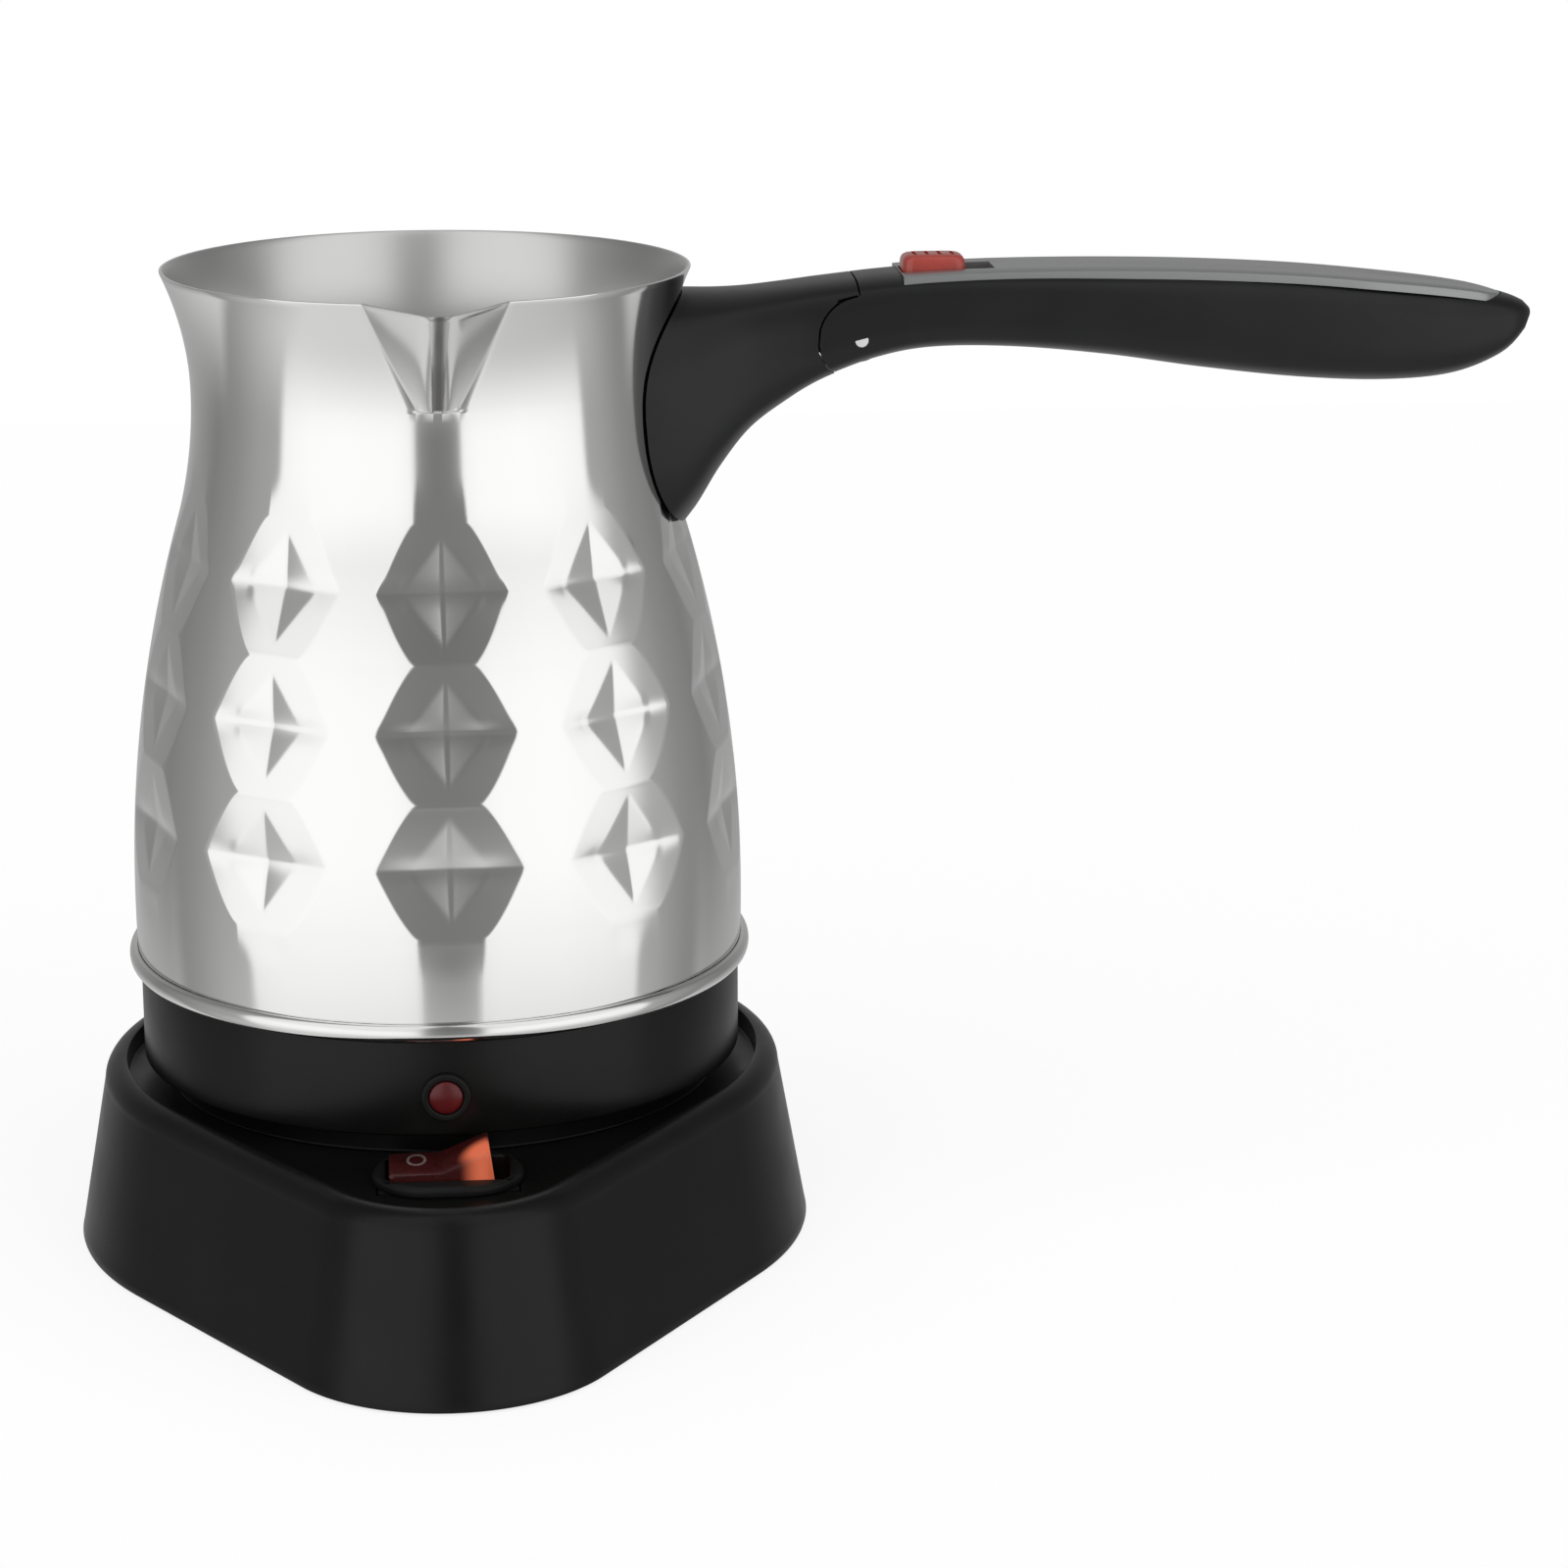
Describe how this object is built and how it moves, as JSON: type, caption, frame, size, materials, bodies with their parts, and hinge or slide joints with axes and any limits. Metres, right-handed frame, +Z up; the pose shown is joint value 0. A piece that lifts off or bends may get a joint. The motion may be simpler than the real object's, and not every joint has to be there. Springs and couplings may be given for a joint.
{
  "type": "electric turkish coffee maker",
  "caption": "Faceted steel coffee pot with a pouring spout and a folding black handle, on a round electric base with a rocker switch on its nose.",
  "frame": {"origin": "on the pot's axis, on the table plane under the base", "axes": "+X runs along the handle, -Y is the front with the spout, the pilot lamp and the switch, +Z is up"},
  "size_m": [0.2512, 0.154, 0.169],
  "materials": {
    "black_plastic": "satin black moulded plastic",
    "connector_plastic": "dark grey heat-proof plastic",
    "foot_rubber": "matt black rubber",
    "screw_steel": "zinc-plated steel",
    "contact_brass": "plain brass",
    "lead_sleeve": "glass-silicone lead sleeve",
    "red_clear_plastic": "clear red plastic",
    "body_steel": "fine-brushed stainless steel",
    "ring_steel": "smooth stainless steel",
    "gasket_rubber": "silicone rubber",
    "plate_aluminium": "plain aluminium",
    "element_steel": "oxidised steel tube",
    "pale_ceramic": "pale steatite and sleeve",
    "bulb_glass": "small neon lamp glass",
    "grey_plastic": "silver-grey satin plastic",
    "red_plastic": "plain red plastic"
  },
  "bodies": {
    "base": {"base_housing": "black_plastic", "base_bottom_plate": "black_plastic", "rubber_feet": "foot_rubber", "bottom_screws": "screw_steel", "base_connector": "connector_plastic", "base_contacts": "contact_brass", "connector_screws": "screw_steel", "switch_housing": "black_plastic", "switch_terminals": "contact_brass", "cord_inlet_bush": "connector_plastic", "base_leads": "lead_sleeve"},
    "rocker": {"rocker": "red_clear_plastic"},
    "pot": {"pot_body": "body_steel", "pot_floor": "body_steel", "seam_ring": "ring_steel", "floor_gasket": "gasket_rubber", "heater_plate": "plate_aluminium", "heating_element": "element_steel", "thermostat": "pale_ceramic", "thermal_fuse": "pale_ceramic", "pot_collar": "black_plastic", "collar_bottom": "black_plastic", "collar_screws": "screw_steel", "pot_connector": "connector_plastic", "pot_contacts": "contact_brass", "lamp_bezel": "black_plastic", "lamp_lens": "red_clear_plastic", "lamp_bulb": "bulb_glass", "pot_leads": "lead_sleeve", "handle_bracket": "ring_steel", "handle_neck": "black_plastic", "neck_screws": "screw_steel", "hinge_pin": "ring_steel"},
    "grip": {"grip_body": "black_plastic", "grip_trim": "grey_plastic", "trim_screws": "screw_steel", "latch_spring": "ring_steel"},
    "latch": {"latch_button": "red_plastic", "latch_bolt": "ring_steel"}
  },
  "joints": [
    {"name": "pot_lift", "type": "slide", "parent": "base", "child": "pot", "axis": [0, 0, 1], "range_m": [0, 0.06]},
    {"name": "grip_fold", "type": "hinge", "parent": "pot", "child": "grip", "pos_m": [0.072, 0, 0.1559], "axis": [0, 1, 0], "range_deg": [0, 90]},
    {"name": "latch_slide", "type": "slide", "parent": "grip", "child": "latch", "axis": [1, 0, 0], "range_m": [0, 0.0046], "stiffness_N_per_m": 300, "springref_m": -0.001, "deforming": ["latch_spring"]},
    {"name": "rocker_tilt", "type": "hinge", "parent": "base", "child": "rocker", "pos_m": [0, -0.0594, 0.0255], "axis": [0, 1, 0], "range_deg": [0, 24]}
  ]
}
